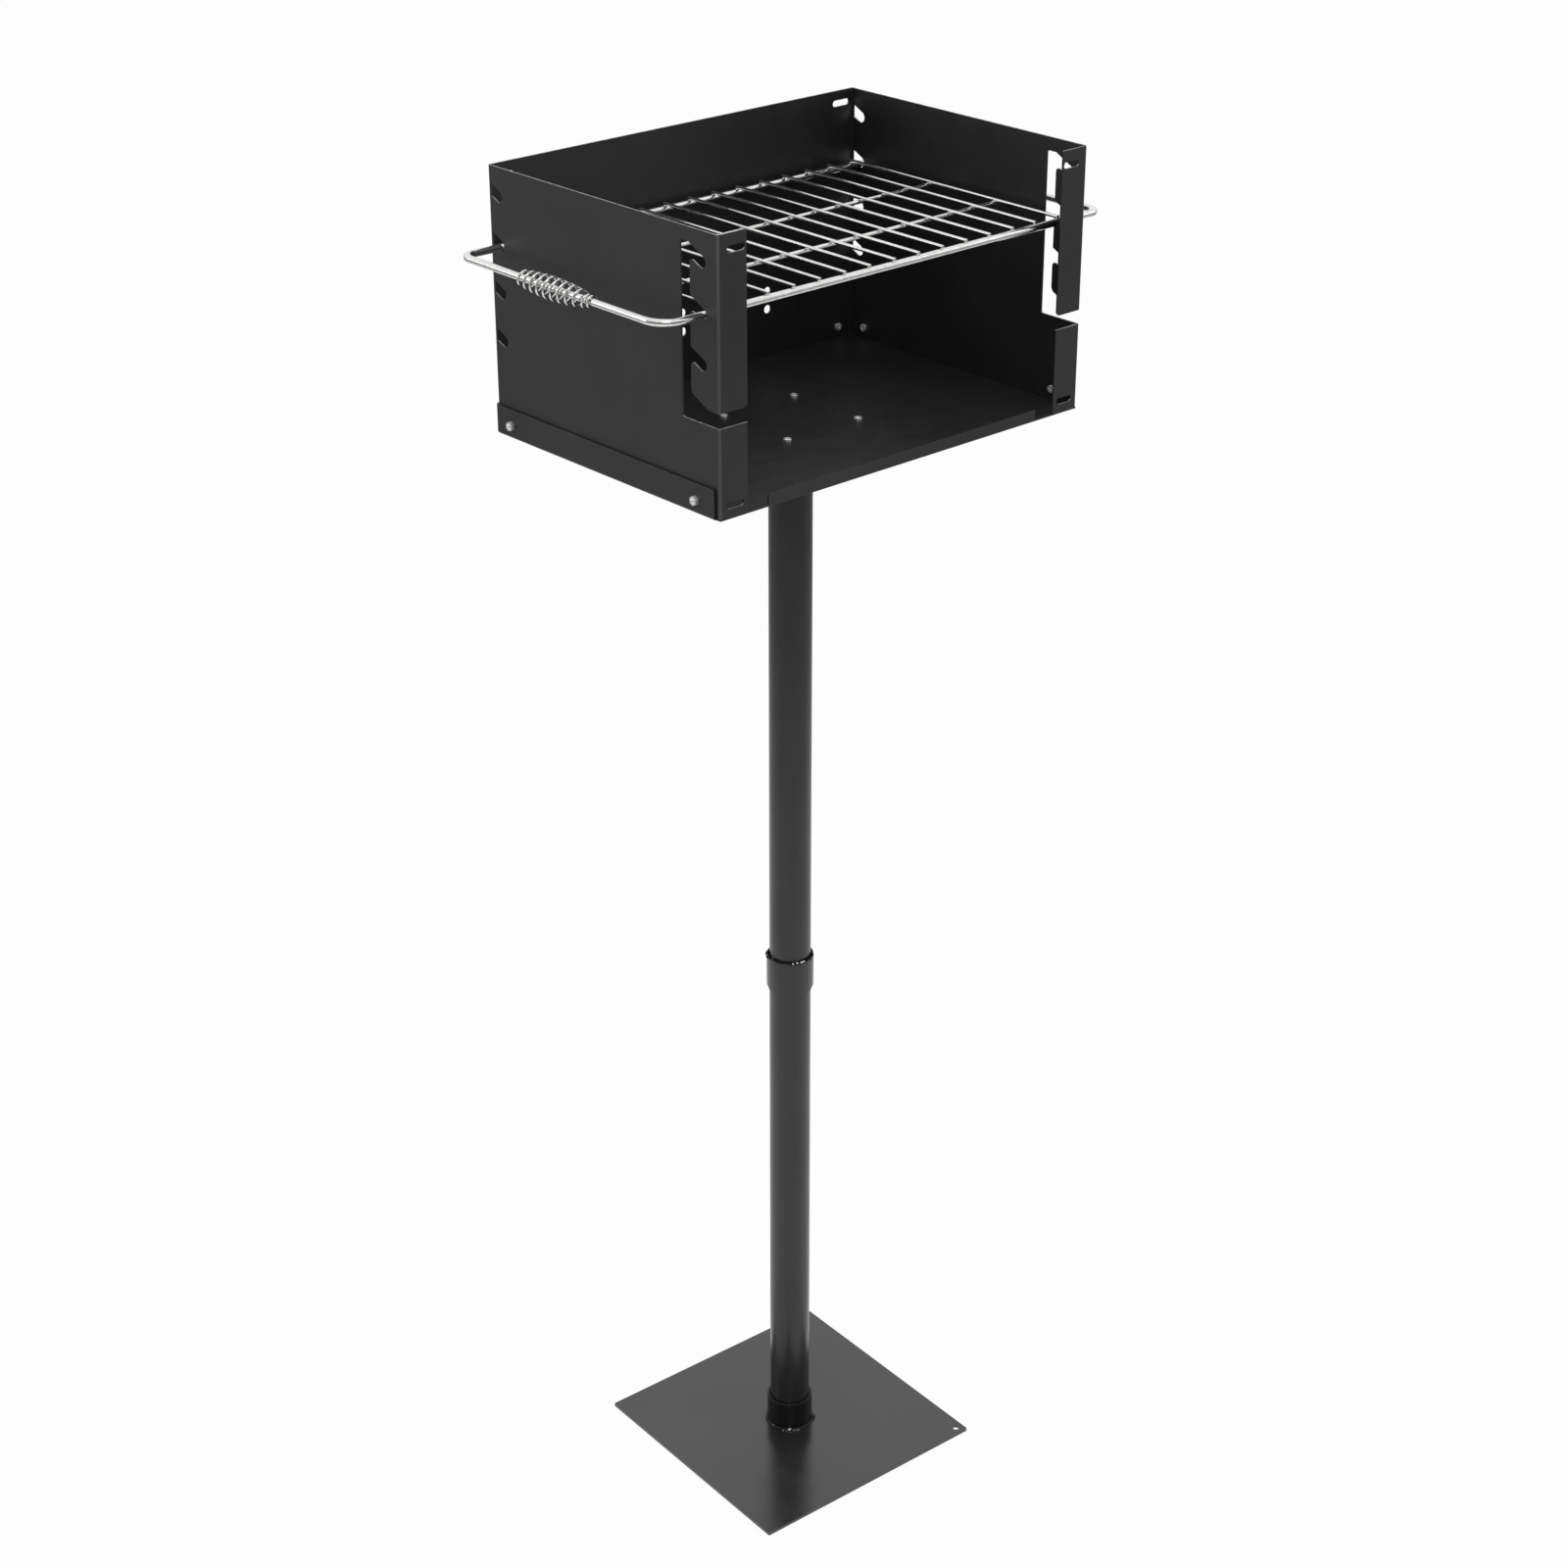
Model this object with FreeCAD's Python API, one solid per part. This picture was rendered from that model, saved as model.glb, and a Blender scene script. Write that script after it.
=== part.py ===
import FreeCAD, Part
import math
import os

from FreeCAD import Vector

# A park charcoal grill on a post. Units are millimetres, +Z is up, X runs along the firebox's
# front opening, the opening faces -Y, and the origin is where the post's axis meets the ground.
# A square base plate carries a welded socket. The lower post tube stands in the socket, the
# upper post tube stands in the lower one's swaged mouth and carries the firebox, and a rod
# grate with a coil grip at each side hangs in hooked slots cut in the firebox walls.

# Base plate and its socket.
base_side = 250.0
base_thickness = 3.0
base_turn = -3.5
base_corner_radius = 1.5
base_hole_diameter = 6.5
base_hole_inset = 8.0
socket_outer_diameter = 44.0
socket_height = 30.0
socket_edge_fillet = 0.8
weld_leg = 4.0

# Post tubes.
tube_diameter = 38.0
tube_wall = 2.4
fit_clearance = 0.08
lower_tube_length = 528.5
swage_depth = 31.5
swage_taper = 7.0
upper_tube_length = 541.5

# Plate that joins the post to the fire pan, and its bolts.
top_plate_side = 104.0
top_plate_thickness = 3.0
top_plate_corner_radius = 8.0
post_bolt_pitch = 80.0

# Fire pan: a folded tray with a rim outside the shield and a short lip in front.
sheet = 1.5
pan_rim_height = 25.0
pan_side_gap = 0.1
pan_rear_gap = 0.6
pan_rear_corner_radius = 5.0
pan_fold_radius = 0.4
pan_rim_setback = 5.0
pan_lip_length = 300.0
pan_lip_height = 10.0
pan_rim_corner_radius = 2.5

# Wind shield: one sheet folded into a back, two sides and two front flanges.
shield_width = 400.0
shield_depth = 280.0
box_height = 225.0
fold_radius = 0.5
flange_width = 28.5

# Hooked slot near the front of each side wall, and the short slots near its rear.
level_pitch = 40.0
level_count = 4
top_level = 201.0
hook_angle = 26.0
hook_width = 9.5
hook_tip_inset = 18.75
rear_tip_inset = 12.5
rear_slot_inset = 3.5
channel_inset = 32.5
channel_width = 10.5
exit_floor = 74.5
exit_height = 12.0
exit_ramp_height = 10.0
exit_ramp_length = 20.0
slot_corner_radius = 2.0
exit_ramp_top_radius = 6.0
exit_ramp_foot_radius = 12.0
tooth_radius = 3.0
flange_corner_radius = 4.0

# Hanging slots and the round air holes of the back wall.
hang_slot_length = 19.0
flange_slot_length = 18.0
hang_slot_width = 5.5
hang_slot_drop = 12.5
upper_slot_inset = 18.0
lower_slot_inset = 15.5
lower_slot_height = 11.0
back_slot_inset = 15.0
back_slot_drop = 11.2
air_hole_diameter = 7.5
air_hole_pitch = 98.0
air_hole_low = 44.5
air_hole_high = 61.0

# Bolts that hold the shield in the pan's rim.
rim_bolt_height = 11.0
rim_bolt_front_inset = 27.0
rim_bolt_rear_inset = 20.0
back_bolt_inset = 17.0

# One size of zinc-plated screw with a round cross-recessed head, and its hexagon nut.
bolt_diameter = 4.0
bolt_length = 8.0
bolt_hole_diameter = 4.5
bolt_head_diameter = 7.0
bolt_head_height = 2.6
bolt_head_crown = 0.5
bolt_recess_length = 3.6
bolt_recess_width = 0.9
bolt_recess_depth = 1.1
nut_across = 7.0
nut_height = 3.2
nut_chamfer = 0.4

# Grate.
frame_rod_diameter = 6.3
frame_corner_radius = 11.0
frame_wide_corner_radius = 20.0
handle_reach = 38.5
grate_level = 2
seat_gap = 0.35
cross_rod_diameter = 3.2
cross_rod_pitch = 26.8
cross_rod_count = 15
cross_rod_overhang = 1.0
support_rod_diameter = 3.6
support_rod_depths = (-48.0, 31.0)
support_rod_overhang = 3.0
weld_bite = 0.25

# Coil grips, wound from wire round the outer bar of each handle.
coil_wire = 2.0
coil_length = 90.0
coil_centre_depth = 5.5
coil_rod_gap = 0.3
coil_end_radius = 5.7
coil_middle_radius = 9.0
coil_tail_turns = 1.25
coil_tail_pitch = 4.2
coil_ramp_turns = 0.5
coil_turns = 11.0

# How far a cutter runs past the face that it goes through, and how near an edge's place is
# to the one looked for.
cut_margin = 1.0
match = 0.01

# Heights and places worked out from the sizes above.
tube_radius = tube_diameter / 2
bore_radius = tube_radius - tube_wall
swage_bore_radius = tube_radius + fit_clearance
swage_radius = swage_bore_radius + tube_wall
base_top = base_thickness
lower_tube_top = base_top + lower_tube_length
upper_tube_foot = lower_tube_top - swage_depth
upper_tube_top = upper_tube_foot + upper_tube_length
pan_bottom = upper_tube_top + top_plate_thickness
pan_floor = pan_bottom + sheet
box_top = pan_bottom + box_height
half_width = shield_width / 2
half_depth = shield_depth / 2
front_face = -half_depth
pan_side_clearance = pan_fold_radius + pan_side_gap
pan_rear_clearance = pan_fold_radius + pan_rear_gap
hook_radius = hook_width / 2
front_rod_y = front_face + hook_tip_inset
rear_rod_y = half_depth - rear_tip_inset
hook_z = pan_bottom + top_level - (grate_level - 1) * level_pitch
grate_z = hook_z - hook_radius + seat_gap + frame_rod_diameter / 2
handle_x = half_width + handle_reach
cross_rod_z = grate_z + (frame_rod_diameter + cross_rod_diameter) / 2 - weld_bite
support_rod_z = cross_rod_z - (cross_rod_diameter + support_rod_diameter) / 2 + weld_bite
hook_direction = Vector(0, -math.cos(math.radians(hook_angle)), -math.sin(math.radians(hook_angle)))
hook_normal = Vector(0, hook_direction.z, -hook_direction.y)

x_axis = Vector(1, 0, 0)
y_axis = Vector(0, 1, 0)
z_axis = Vector(0, 0, 1)


def save(name, shape):
    shape.exportStep("parts/" + name + ".step")
    box = shape.BoundBox
    print("%-22s %2d solids %10.1f mm3  x %.1f..%.1f y %.1f..%.1f z %.1f..%.1f valid %s" % (
        name, len(shape.Solids), shape.Volume, box.XMin, box.XMax, box.YMin, box.YMax,
        box.ZMin, box.ZMax, shape.isValid()))


def block(x0, x1, y0, y1, z0, z1):
    return Part.makeBox(x1 - x0, y1 - y0, z1 - z0, Vector(x0, y0, z0))


def rod(start, end, diameter):
    run = end - start
    return Part.makeCylinder(diameter / 2, run.Length, start, run)


def ring(outer, inner, z0, z1):
    body = Part.makeCylinder(outer, z1 - z0, Vector(0, 0, z0))
    return body.cut(Part.makeCylinder(inner, z1 - z0, Vector(0, 0, z0)))


def turned(points):
    # A solid of revolution about the post's axis from (radius, height) points.
    corners = [Vector(radius, 0, height) for radius, height in points]
    face = Part.Face(Part.makePolygon(corners + corners[:1]))
    return face.revolve(Vector(0, 0, 0), z_axis, 360)


def vertical_edges(shape, x, y):
    found = []
    for edge in shape.Edges:
        box = edge.BoundBox
        upright = box.XLength < match and box.YLength < match
        if upright and abs(box.XMin - x) < match and abs(box.YMin - y) < match:
            found.append(edge)
    return found


def slot_tool(centre, along, across, length, width, depth):
    # A round-ended cutter centred on a sheet, long in one direction and deep in the other.
    half = along * ((length - width) / 2)
    reach = across * (depth / 2)
    ends = [Part.makeCylinder(width / 2, depth, centre + side - reach, across)
            for side in (half, half * -1)]
    up = across.cross(along)
    corner = centre - half - up * (width / 2) - reach
    points = [corner, corner + half * 2, corner + half * 2 + up * width, corner + up * width]
    middle = Part.Face(Part.makePolygon(points + points[:1])).extrude(across * depth)
    return ends[0].fuse([ends[1], middle])


def side_cutter(points, fillets):
    # A cutter through both side walls from (depth, height) corners above the pan's bottom;
    # fillets names the corners that are rounded, by their number, and each one's radius.
    reach = half_width + cut_margin
    corners = [Vector(-reach, front_face + depth, pan_bottom + height) for depth, height in points]
    solid = Part.Face(Part.makePolygon(corners + corners[:1])).extrude(x_axis * (reach * 2))
    for number, radius in fillets.items():
        corner = corners[number]
        edges = [edge for edge in solid.Edges
                 if edge.BoundBox.XLength > reach and abs(edge.BoundBox.YMin - corner.y) < match
                 and abs(edge.BoundBox.ZMin - corner.z) < match and edge.BoundBox.YLength < match]
        solid = solid.makeFillet(radius, edges)
    return solid


def make_base_plate():
    half = base_side / 2
    plate = block(-half, half, -half, half, 0, base_thickness)
    corners = []
    for x in (-half, half):
        for y in (-half, half):
            corners += vertical_edges(plate, x, y)
    plate = plate.makeFillet(base_corner_radius, corners)
    hole_at = Vector(half - base_hole_inset, base_hole_inset - half, -cut_margin)
    depth = base_thickness + 2 * cut_margin
    plate = plate.cut(Part.makeCylinder(base_hole_diameter / 2, depth, hole_at))
    plate.rotate(Vector(0, 0, 0), z_axis, base_turn)
    return plate


def make_base_socket():
    collar = ring(socket_outer_diameter / 2, swage_bore_radius, base_top, base_top + socket_height)
    rims = [edge for edge in collar.Edges
            if edge.BoundBox.ZMin > base_top + socket_height / 2 and edge.BoundBox.ZLength < match
            and edge.BoundBox.XMax > (swage_bore_radius + socket_outer_diameter / 2) / 2]
    return collar.makeFillet(socket_edge_fillet, rims)


def make_weld(radius, foot, rise):
    # A fillet weld round a tube: its leg on the flat face at foot, its rise up or down the tube.
    return turned([(radius, foot), (radius + weld_leg, foot), (radius, foot + rise)])


def make_lower_tube():
    taper_top = upper_tube_foot
    taper_foot = taper_top - swage_taper
    return turned([
        (bore_radius, base_top), (tube_radius, base_top), (tube_radius, taper_foot),
        (swage_radius, taper_top), (swage_radius, lower_tube_top),
        (swage_bore_radius, lower_tube_top), (swage_bore_radius, upper_tube_foot),
        (bore_radius, upper_tube_foot)])


def make_upper_tube():
    return ring(tube_radius, bore_radius, upper_tube_foot, upper_tube_top)


def make_top_plate():
    half = top_plate_side / 2
    plate = block(-half, half, -half, half, upper_tube_top, pan_bottom)
    corners = []
    for x in (-half, half):
        for y in (-half, half):
            corners += vertical_edges(plate, x, y)
    plate = plate.makeFillet(top_plate_corner_radius, corners)
    return plate.cut(post_bolt_holes())


def post_bolt_places():
    half = post_bolt_pitch / 2
    return [Vector(x, y, 0) for x in (-half, half) for y in (-half, half)]


def post_bolt_holes():
    low = upper_tube_top - cut_margin
    high = pan_floor + cut_margin
    holes = [Part.makeCylinder(bolt_hole_diameter / 2, high - low, place + z_axis * low)
             for place in post_bolt_places()]
    return Part.makeCompound(holes)


def rim_bolt_places():
    # Each place is on the outer face of the shield, with the direction that points outwards.
    height = pan_bottom + rim_bolt_height
    places = []
    for side in (-1, 1):
        for depth in (front_face + rim_bolt_front_inset, half_depth - rim_bolt_rear_inset):
            places.append((Vector(side * half_width, depth, height), x_axis * side))
        places.append((Vector(side * (half_width - back_bolt_inset), half_depth, height), y_axis))
    return places


def rim_bolt_holes():
    reach = 2 * sheet + pan_rear_clearance + cut_margin
    holes = [Part.makeCylinder(bolt_hole_diameter / 2, 2 * reach, place - outward * reach, outward)
             for place, outward in rim_bolt_places()]
    return Part.makeCompound(holes)


def make_fire_pan():
    outer_x = half_width + pan_side_clearance + sheet
    outer_y = half_depth + pan_rear_clearance + sheet
    rim_top = pan_bottom + pan_rim_height
    outer_fold = pan_fold_radius + sheet
    outer = block(-outer_x, outer_x, front_face, outer_y, pan_bottom, rim_top)
    inner = block(-outer_x + sheet, outer_x - sheet, front_face - sheet, outer_y - sheet,
                  pan_floor, rim_top + cut_margin)
    for side in (-1, 1):
        rear = vertical_edges(outer, side * outer_x, outer_y)
        outer = outer.makeFillet(pan_rear_corner_radius, rear)
        rear = vertical_edges(inner, side * (outer_x - sheet), outer_y - sheet)
        inner = inner.makeFillet(pan_rear_corner_radius - sheet, rear)
    outer = outer.makeFillet(outer_fold, low_edges(outer, pan_bottom, front_face))
    inner = inner.makeFillet(pan_fold_radius, low_edges(inner, pan_floor, front_face - sheet))
    tray = outer.cut(inner)
    for side in (-1, 1):
        near = side * (half_width - fold_radius - sheet)
        far = side * (outer_x + cut_margin)
        notch = block(min(near, far), max(near, far), front_face - cut_margin,
                      front_face + pan_rim_setback, pan_bottom - cut_margin, rim_top + cut_margin)
        tray = tray.cut(notch)
    tray = tray.makeFillet(pan_rim_corner_radius, rim_front_corners(tray, rim_top))
    tray = tray.fuse(front_corner_plates()).removeSplitter()
    half_lip = pan_lip_length / 2
    lip = block(-half_lip, half_lip, front_face, front_face + sheet,
                pan_bottom, pan_bottom + pan_lip_height)
    tray = tray.fuse(lip).removeSplitter()
    return tray.cut([post_bolt_holes(), rim_bolt_holes()])


def low_edges(shape, height, front):
    # The long lower edges of the tray, all but the one across its open front.
    found = []
    for edge in shape.Edges:
        box = edge.BoundBox
        level = abs(box.ZMin - height) < match and box.ZLength < match
        across_front = box.YLength < match and abs(box.YMin - front) < match
        if level and not across_front:
            found.append(edge)
    return found


def rim_front_corners(tray, rim_top):
    # The short edges across the sheet at the upper front end of each side of the rim.
    found = []
    for edge in tray.Edges:
        box = edge.BoundBox
        across = abs(box.XLength - sheet) < match and box.YLength < match and box.ZLength < match
        in_front = abs(box.YMin - front_face - pan_rim_setback) < match
        if across and in_front and abs(box.ZMin - rim_top) < match:
            found.append(edge)
    return found


def front_corner_plates():
    # The floor's front corners, which run forward under the shield's front folds.
    plates = []
    for side in (-1, 1):
        near = side * (half_width - fold_radius - 2 * sheet)
        far = side * half_width
        plates.append(block(min(near, far), max(near, far), front_face,
                            front_face + pan_rim_setback, pan_bottom, pan_floor))
    return plates


def shield_outline():
    # The folded sheet seen from above, as one closed outline with its folds as arcs.
    outer = fold_radius + sheet
    inner = fold_radius
    tip = half_width - flange_width
    w = half_width
    f = front_face
    b = half_depth
    s = sheet
    cos45 = math.sqrt(0.5)

    def line(x0, y0, x1, y1):
        return Part.LineSegment(Vector(x0, y0, pan_floor), Vector(x1, y1, pan_floor)).toShape()

    def fold(cx, cy, radius, sx, sy):
        # A quarter circle about (cx, cy), from the side end to the front or back end.
        start = Vector(cx + sx * radius, cy, pan_floor)
        middle = Vector(cx + sx * radius * cos45, cy + sy * radius * cos45, pan_floor)
        end = Vector(cx, cy + sy * radius, pan_floor)
        return Part.Arc(start, middle, end).toShape()

    edges = []
    for side in (-1, 1):
        cx = side * (w - outer)
        edges.append(line(side * tip, f, cx, f))
        edges.append(line(side * tip, f, side * tip, f + s))
        edges.append(line(side * tip, f + s, cx, f + s))
        edges.append(line(side * w, f + outer, side * w, b - outer))
        edges.append(line(side * (w - s), f + outer, side * (w - s), b - outer))
        for radius in (outer, inner):
            edges.append(fold(cx, f + outer, radius, side, -1))
            edges.append(fold(cx, b - outer, radius, side, 1))
    edges.append(line(-(w - outer), b, w - outer, b))
    edges.append(line(-(w - outer), b - s, w - outer, b - s))
    return Part.Wire(Part.__sortEdges__(edges))


def hook_cutters():
    # The front channel of both side walls with its hooks, and the short slots near the rear.
    channel_rear = channel_inset + channel_width
    slope = math.tan(math.radians(hook_angle))
    hook_top = hook_radius / math.cos(math.radians(hook_angle))
    hook_mouth = channel_inset + cut_margin
    channel_top = top_level + hook_top + (hook_mouth - hook_tip_inset) * slope
    exit_top = exit_floor + exit_height
    channel = side_cutter(
        [(channel_rear, exit_floor), (channel_rear, channel_top), (channel_inset, channel_top),
         (channel_inset, exit_top + exit_ramp_height), (channel_inset - exit_ramp_length, exit_top),
         (-cut_margin, exit_top), (-cut_margin, exit_floor)],
        {0: slot_corner_radius, 1: slot_corner_radius, 3: exit_ramp_top_radius,
         4: exit_ramp_foot_radius})
    cutters = [channel]
    reach = half_width + cut_margin
    for level in range(level_count):
        height = pan_bottom + top_level - level * level_pitch
        rear_tip = Vector(-reach, rear_rod_y, height)
        rear_end = half_depth - rear_slot_inset
        cutters.append(finger(rear_tip, rear_end))
        if level < level_count - 1:
            front_tip = Vector(-reach, front_rod_y, height)
            cutters.append(finger(front_tip, front_face + hook_mouth))
            cutters.append(tooth_rounding(height))
    return cutters


def finger(tip, rear_end):
    # A round-ended slot from its tip back and up along the hook angle to an upright end.
    reach = 2 * (half_width + cut_margin)
    run = (rear_end - tip.y) / math.cos(math.radians(hook_angle)) + 2 * hook_radius
    low = tip - hook_normal * hook_radius
    high = tip + hook_normal * hook_radius
    back = hook_direction * -run
    corners = [low, low + back, high + back, high]
    strip = Part.Face(Part.makePolygon(corners + corners[:1])).extrude(x_axis * reach)
    strip = strip.fuse(Part.makeCylinder(hook_radius, reach, tip, x_axis))
    beyond = block(tip.x - cut_margin, tip.x + reach + cut_margin, rear_end, rear_end + 2 * run,
                   tip.z - 2 * run, tip.z + 2 * run)
    return strip.cut(beyond)


def tooth_rounding(height):
    # Takes the sharp upper corner off the tooth below a hook, where it meets the channel.
    slope = math.tan(math.radians(hook_angle))
    drop = hook_radius / math.cos(math.radians(hook_angle))
    corner_z = height - drop + (channel_inset - hook_tip_inset) * slope
    y = front_face + channel_inset
    back_off = tooth_radius * math.tan(math.radians(90 + hook_angle) / 2)
    reach = half_width + cut_margin
    corner = Vector(-reach, y, corner_z)
    along = Vector(0, hook_direction.y, hook_direction.z) * back_off
    down = Vector(0, 0, -back_off)
    wedge = Part.Face(Part.makePolygon([corner, corner + along, corner + down, corner]))
    wedge = wedge.extrude(x_axis * (2 * reach))
    centre = corner + Vector(0, -tooth_radius, -back_off)
    return wedge.cut(Part.makeCylinder(tooth_radius, 2 * reach, centre, x_axis))


def make_wind_shield():
    height = box_top - pan_floor
    shield = Part.Face(shield_outline()).extrude(z_axis * height)
    cutters = hook_cutters()
    exit_top = pan_bottom + exit_floor + exit_height
    for side in (-1, 1):
        edge_x = side * (half_width - flange_width)
        near = edge_x - side * cut_margin
        far = side * (half_width + cut_margin)
        cutters.append(block(min(near, far), max(near, far), front_face - cut_margin,
                             front_face + fold_radius + sheet, pan_bottom + exit_floor, exit_top))
        in_front = front_face + sheet / 2
        behind = half_depth - sheet / 2
        upper_z = box_top - hang_slot_drop
        lower_z = pan_bottom + lower_slot_height
        back_z = box_top - back_slot_drop
        for inset, y, z, length in ((upper_slot_inset, in_front, upper_z, flange_slot_length),
                                    (lower_slot_inset, in_front, lower_z, flange_slot_length),
                                    (back_slot_inset, behind, back_z, hang_slot_length)):
            centre = Vector(side * (half_width - inset), y, z)
            cutters.append(slot_tool(centre, x_axis, y_axis, length, hang_slot_width, 4 * sheet))
    for x in (-air_hole_pitch, 0, air_hole_pitch):
        for z in (air_hole_low, air_hole_high):
            cutters.append(Part.makeCylinder(air_hole_diameter / 2, 4 * sheet,
                                             Vector(x, half_depth - 2 * sheet, pan_bottom + z), y_axis))
    shield = shield.cut(cutters)
    shield = round_flange_corners(shield, exit_top)
    return shield.cut(rim_bolt_holes())


def round_flange_corners(shield, exit_top):
    # The inner lower corner of each upper front flange is rounded.
    corners = []
    for edge in shield.Edges:
        box = edge.BoundBox
        through = abs(box.YLength - sheet) < match and box.XLength < match and box.ZLength < match
        at_tip = abs(abs(box.XMin) - (half_width - flange_width)) < match
        if through and at_tip and abs(box.ZMin - exit_top) < match:
            corners.append(edge)
    return shield.makeFillet(flange_corner_radius, corners)


def make_bolt(seat, headward):
    # A screw whose head sits on seat and points headward. Its top is a part of a ball with a
    # cross cut into it.
    radius = bolt_head_diameter / 2
    ball_radius = (radius ** 2 + bolt_head_crown ** 2) / (2 * bolt_head_crown)
    ball = Part.makeSphere(ball_radius, z_axis * (bolt_head_height - ball_radius))
    head = Part.makeCylinder(radius, bolt_head_height).common(ball)
    shank = Part.makeCylinder(bolt_diameter / 2, bolt_length, Vector(0, 0, 0), z_axis * -1)
    screw = head.fuse(shank).removeSplitter()
    long = bolt_recess_length / 2
    short = bolt_recess_width / 2
    low = bolt_head_height - bolt_recess_depth
    high = bolt_head_height + cut_margin
    cross = block(-long, long, -short, short, low, high)
    screw = screw.cut(cross.fuse(block(-short, short, -long, long, low, high)).removeSplitter())
    screw.Placement = FreeCAD.Placement(seat, FreeCAD.Rotation(z_axis, headward))
    return screw


def make_nut(seat, outward):
    # A hexagon nut that sits on seat, with the corners of its outer face taken off.
    radius = nut_across / math.sqrt(3)
    nut = Part.Face(Part.makePolygon([
        Vector(radius * math.cos(math.radians(60 * k)), radius * math.sin(math.radians(60 * k)), 0)
        for k in range(7)])).extrude(z_axis * nut_height)
    nut = nut.common(Part.makeCone(radius + nut_height - nut_chamfer, radius - nut_chamfer, nut_height))
    nut.Placement = FreeCAD.Placement(seat, FreeCAD.Rotation(z_axis, outward))
    return nut.cut(Part.makeCylinder(bolt_diameter / 2, nut_height, seat, outward))


def make_post_fasteners():
    # The heads are on the pan's floor and the nuts under the top plate.
    bolts = [make_bolt(place + z_axis * pan_floor, z_axis) for place in post_bolt_places()]
    nuts = [make_nut(place + z_axis * upper_tube_top, z_axis * -1) for place in post_bolt_places()]
    return Part.makeCompound(bolts), Part.makeCompound(nuts)


def make_rim_fasteners():
    # The heads are inside the shield and the nuts outside the pan's rim.
    bolts = []
    nuts = []
    for place, outward in rim_bolt_places():
        clearance = pan_rear_clearance if outward.y > 0.5 else pan_side_clearance
        bolts.append(make_bolt(place - outward * sheet, outward * -1))
        nuts.append(make_nut(place + outward * (clearance + sheet), outward))
    return Part.makeCompound(bolts), Part.makeCompound(nuts)


def make_grate_frame():
    # One closed loop of rod: the front and rear bars, and a handle bar outside each wall. Its
    # left front bend is wider than the other three.
    radius = frame_corner_radius
    wide = frame_wide_corner_radius
    edges = []

    def at(x, y):
        return Vector(x, y, grate_z)

    x = handle_x
    front = front_rod_y
    rear = rear_rod_y
    edges.append(Part.LineSegment(at(wide - x, front), at(x - radius, front)).toShape())
    edges.append(arc_corner(at(x - radius, front + radius), radius, 1, -1))
    edges.append(Part.LineSegment(at(x, front + radius), at(x, rear - radius)).toShape())
    edges.append(arc_corner(at(x - radius, rear - radius), radius, 1, 1))
    edges.append(Part.LineSegment(at(x - radius, rear), at(radius - x, rear)).toShape())
    edges.append(arc_corner(at(radius - x, rear - radius), radius, -1, 1))
    edges.append(Part.LineSegment(at(-x, rear - radius), at(-x, front + wide)).toShape())
    edges.append(arc_corner(at(wide - x, front + wide), wide, -1, -1))
    pieces = []
    for edge in edges:
        start = edge.valueAt(edge.FirstParameter)
        tangent = edge.tangentAt(edge.FirstParameter)
        circle = Part.Wire(Part.makeCircle(frame_rod_diameter / 2, start, tangent))
        pieces.append(Part.Wire(edge).makePipeShell([circle], True, False))
    return pieces[0].fuse(pieces[1:]).removeSplitter()


def arc_corner(centre, radius, sx, sy):
    cos45 = math.sqrt(0.5)
    start = centre + Vector(sx * radius, 0, 0)
    middle = centre + Vector(sx * radius * cos45, sy * radius * cos45, 0)
    end = centre + Vector(0, sy * radius, 0)
    return Part.Arc(start, middle, end).toShape()


def make_cross_rod(x):
    # Its ends stand a little beyond the middle of the front and rear bars, which carry it.
    start = Vector(x, front_rod_y - cross_rod_overhang, cross_rod_z)
    end = Vector(x, rear_rod_y + cross_rod_overhang, cross_rod_z)
    return rod(start, end, cross_rod_diameter)


def make_support_rod(y):
    reach = (cross_rod_count - 1) / 2 * cross_rod_pitch + cross_rod_diameter / 2 + support_rod_overhang
    return rod(Vector(-reach, y, support_rod_z), Vector(reach, y, support_rod_z), support_rod_diameter)


def coil_radius(turn):
    # The wire's radius about the bar: tight on the bar at the front end, a barrel elsewhere.
    tight = frame_rod_diameter / 2 + coil_rod_gap + coil_wire / 2
    if turn < coil_tail_turns:
        return tight
    along = (turn - coil_tail_turns) / (coil_turns - coil_tail_turns)
    barrel = coil_end_radius + (coil_middle_radius - coil_end_radius) * math.sin(math.pi * along)
    from_end = min(turn - coil_tail_turns, coil_turns - turn)
    ramp = min(1.0, from_end / coil_ramp_turns)
    return tight + (barrel - tight) * ramp * ramp * (3 - 2 * ramp)


def coil_point(turn):
    # Where the wire's centre is after so many turns, about a straight bar along Y.
    tail_length = coil_tail_turns * coil_tail_pitch
    barrel_pitch = (coil_length - tail_length) / (coil_turns - coil_tail_turns)
    y = min(turn, coil_tail_turns) * coil_tail_pitch
    y += max(turn - coil_tail_turns, 0) * barrel_pitch
    angle = 2 * math.pi * turn
    radius = coil_radius(turn)
    return Vector(radius * math.cos(angle), y - coil_length / 2, radius * math.sin(angle))


def coil_tangent(turn):
    step = 0.001
    run = coil_point(min(turn + step, coil_turns)) - coil_point(max(turn - step, 0))
    return run.normalize()


def tangent_arc(start, corner, end):
    # The arc from start to end that is tangent to the lines that meet at corner.
    chord_middle = (start + end) * 0.5
    to_corner = corner - chord_middle
    tangent_length = (corner - start).Length
    half_turn = math.acos(min(1.0, (end - start).Length / 2 / tangent_length))
    radius = tangent_length / math.tan(half_turn)
    bulge = radius * (1 - math.cos(half_turn))
    return Part.Arc(start, chord_middle + to_corner.normalize() * bulge, end).toShape()


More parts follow.
